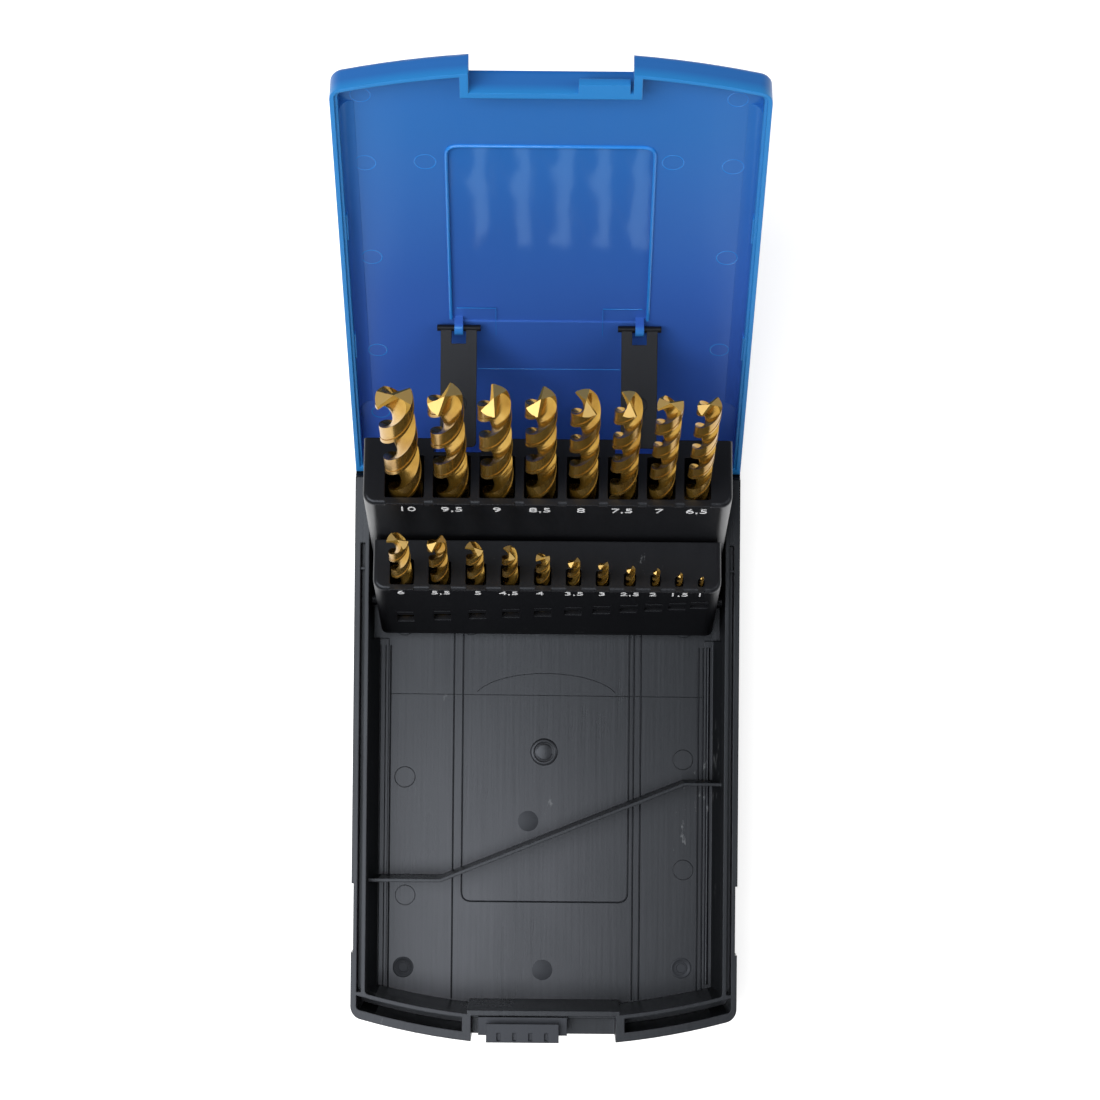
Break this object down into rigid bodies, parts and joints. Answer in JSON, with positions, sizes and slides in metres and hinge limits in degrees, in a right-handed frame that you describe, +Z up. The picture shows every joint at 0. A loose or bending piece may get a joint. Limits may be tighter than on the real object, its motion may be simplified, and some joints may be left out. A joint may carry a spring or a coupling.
{
  "type": "drill bit case",
  "caption": "Hinged plastic case with a blue lid and two swing-up holders, joined to the lid by straps, that stand the graded twist drills up as it opens.",
  "frame": {"origin": "centre of the base's underside between its side walls and between its front skin and the lid hinge axis's inset line, on the surface it lies on", "axes": "+Z up, X across the case with the smallest drill sizes towards +X, the latch and front wall towards -Y and the lid hinge towards +Y"},
  "size_m": [0.112, 0.2643, 0.1706],
  "materials": {
    "tray_plastic": "moulded black plastic with a soft sheen",
    "lid_plastic": "moulded blue plastic, satin inside",
    "holder_plastic": "moulded black plastic with white size numerals",
    "strap_plastic": "moulded black plastic",
    "latch_plastic": "moulded black plastic",
    "drill_steel": "high speed steel with a gold to bronze coloured coating and bright ground points"
  },
  "bodies": {
    "base_tray": {"base_tray": "tray_plastic"},
    "lid": {"lid": "lid_plastic"},
    "upper_bit_holder": {"upper_bit_holder": "holder_plastic"},
    "lower_bit_holder": {"lower_bit_holder": "holder_plastic"},
    "strap_left": {"strap_left": "strap_plastic"},
    "strap_right": {"strap_right": "strap_plastic"},
    "latch_slider": {"latch_slider": "latch_plastic"},
    "drill_bit_10_0": {"drill_bit_10_0": "drill_steel"},
    "drill_bit_9_5": {"drill_bit_9_5": "drill_steel"},
    "drill_bit_9_0": {"drill_bit_9_0": "drill_steel"},
    "drill_bit_8_5": {"drill_bit_8_5": "drill_steel"},
    "drill_bit_8_0": {"drill_bit_8_0": "drill_steel"},
    "drill_bit_7_5": {"drill_bit_7_5": "drill_steel"},
    "drill_bit_7_0": {"drill_bit_7_0": "drill_steel"},
    "drill_bit_6_5": {"drill_bit_6_5": "drill_steel"},
    "drill_bit_6_0": {"drill_bit_6_0": "drill_steel"},
    "drill_bit_5_5": {"drill_bit_5_5": "drill_steel"},
    "drill_bit_5_0": {"drill_bit_5_0": "drill_steel"},
    "drill_bit_4_5": {"drill_bit_4_5": "drill_steel"},
    "drill_bit_4_0": {"drill_bit_4_0": "drill_steel"},
    "drill_bit_3_5": {"drill_bit_3_5": "drill_steel"},
    "drill_bit_3_0": {"drill_bit_3_0": "drill_steel"},
    "drill_bit_2_5": {"drill_bit_2_5": "drill_steel"},
    "drill_bit_2_0": {"drill_bit_2_0": "drill_steel"},
    "drill_bit_1_5": {"drill_bit_1_5": "drill_steel"},
    "drill_bit_1_0": {"drill_bit_1_0": "drill_steel"}
  },
  "joints": [
    {"name": "lid_hinge", "type": "hinge", "parent": "base_tray", "child": "lid", "pos_m": [0, 0.0825, 0.032], "axis": [-1, 0, 0], "range_deg": [-123.5, 0]},
    {"name": "upper_holder_hinge", "type": "hinge", "parent": "base_tray", "child": "upper_bit_holder", "pos_m": [0, 0.06508, 0.02826], "axis": [-1, 0, 0], "range_deg": [-105, 0]},
    {"name": "lower_holder_hinge", "type": "hinge", "parent": "base_tray", "child": "lower_bit_holder", "pos_m": [0, 0.04444, 0.01234], "axis": [-1, 0, 0], "range_deg": [-105, 0]},
    {"name": "strap_left_hinge", "type": "hinge", "parent": "lid", "child": "strap_left", "pos_m": [-0.025, 0.11898, 0.08005], "axis": [-1, 0, 0], "range_deg": [-51.87, 0]},
    {"name": "strap_right_hinge", "type": "hinge", "parent": "lid", "child": "strap_right", "pos_m": [0.025, 0.11898, 0.08005], "axis": [-1, 0, 0], "range_deg": [-51.87, 0]},
    {"name": "latch_slide", "type": "slide", "parent": "base_tray", "child": "latch_slider", "axis": [1, 0, 0], "range_m": [0, 0.0135]},
    {"name": "drill_bit_10_0_slide", "type": "slide", "parent": "upper_bit_holder", "child": "drill_bit_10_0", "axis": [0, 0.2588, 0.9659], "range_m": [0, 0.065]},
    {"name": "drill_bit_9_5_slide", "type": "slide", "parent": "upper_bit_holder", "child": "drill_bit_9_5", "axis": [0, 0.2588, 0.9659], "range_m": [0, 0.057]},
    {"name": "drill_bit_9_0_slide", "type": "slide", "parent": "upper_bit_holder", "child": "drill_bit_9_0", "axis": [0, 0.2588, 0.9659], "range_m": [0, 0.057]},
    {"name": "drill_bit_8_5_slide", "type": "slide", "parent": "upper_bit_holder", "child": "drill_bit_8_5", "axis": [0, 0.2588, 0.9659], "range_m": [0, 0.049]},
    {"name": "drill_bit_8_0_slide", "type": "slide", "parent": "upper_bit_holder", "child": "drill_bit_8_0", "axis": [0, 0.2588, 0.9659], "range_m": [0, 0.049]},
    {"name": "drill_bit_7_5_slide", "type": "slide", "parent": "upper_bit_holder", "child": "drill_bit_7_5", "axis": [0, 0.2588, 0.9659], "range_m": [0, 0.041]},
    {"name": "drill_bit_7_0_slide", "type": "slide", "parent": "upper_bit_holder", "child": "drill_bit_7_0", "axis": [0, 0.2588, 0.9659], "range_m": [0, 0.041]},
    {"name": "drill_bit_6_5_slide", "type": "slide", "parent": "upper_bit_holder", "child": "drill_bit_6_5", "axis": [0, 0.2588, 0.9659], "range_m": [0, 0.033]},
    {"name": "drill_bit_6_0_slide", "type": "slide", "parent": "lower_bit_holder", "child": "drill_bit_6_0", "axis": [0, 0.2588, 0.9659], "range_m": [0, 0.052]},
    {"name": "drill_bit_5_5_slide", "type": "slide", "parent": "lower_bit_holder", "child": "drill_bit_5_5", "axis": [0, 0.2588, 0.9659], "range_m": [0, 0.052]},
    {"name": "drill_bit_5_0_slide", "type": "slide", "parent": "lower_bit_holder", "child": "drill_bit_5_0", "axis": [0, 0.2588, 0.9659], "range_m": [0, 0.0524]},
    {"name": "drill_bit_4_5_slide", "type": "slide", "parent": "lower_bit_holder", "child": "drill_bit_4_5", "axis": [0, 0.2588, 0.9659], "range_m": [0, 0.0522]},
    {"name": "drill_bit_4_0_slide", "type": "slide", "parent": "lower_bit_holder", "child": "drill_bit_4_0", "axis": [0, 0.2588, 0.9659], "range_m": [0, 0.0524]},
    {"name": "drill_bit_3_5_slide", "type": "slide", "parent": "lower_bit_holder", "child": "drill_bit_3_5", "axis": [0, 0.2588, 0.9659], "range_m": [0, 0.0518]},
    {"name": "drill_bit_3_0_slide", "type": "slide", "parent": "lower_bit_holder", "child": "drill_bit_3_0", "axis": [0, 0.2588, 0.9659], "range_m": [0, 0.0488]},
    {"name": "drill_bit_2_5_slide", "type": "slide", "parent": "lower_bit_holder", "child": "drill_bit_2_5", "axis": [0, 0.2588, 0.9659], "range_m": [0, 0.0476]},
    {"name": "drill_bit_2_0_slide", "type": "slide", "parent": "lower_bit_holder", "child": "drill_bit_2_0", "axis": [0, 0.2588, 0.9659], "range_m": [0, 0.0406]},
    {"name": "drill_bit_1_5_slide", "type": "slide", "parent": "lower_bit_holder", "child": "drill_bit_1_5", "axis": [0, 0.2588, 0.9659], "range_m": [0, 0.0344]},
    {"name": "drill_bit_1_0_slide", "type": "slide", "parent": "lower_bit_holder", "child": "drill_bit_1_0", "axis": [0, 0.2588, 0.9659], "range_m": [0, 0.0306]}
  ],
  "couplings": [
    {"joint": "upper_holder_hinge", "follows": "lid_hinge", "ratio": 0.8502},
    {"joint": "lower_holder_hinge", "follows": "lid_hinge", "ratio": 0.8502},
    {"joint": "strap_left_hinge", "follows": "lid_hinge", "ratio": 0.42},
    {"joint": "strap_right_hinge", "follows": "lid_hinge", "ratio": 0.42}
  ]
}
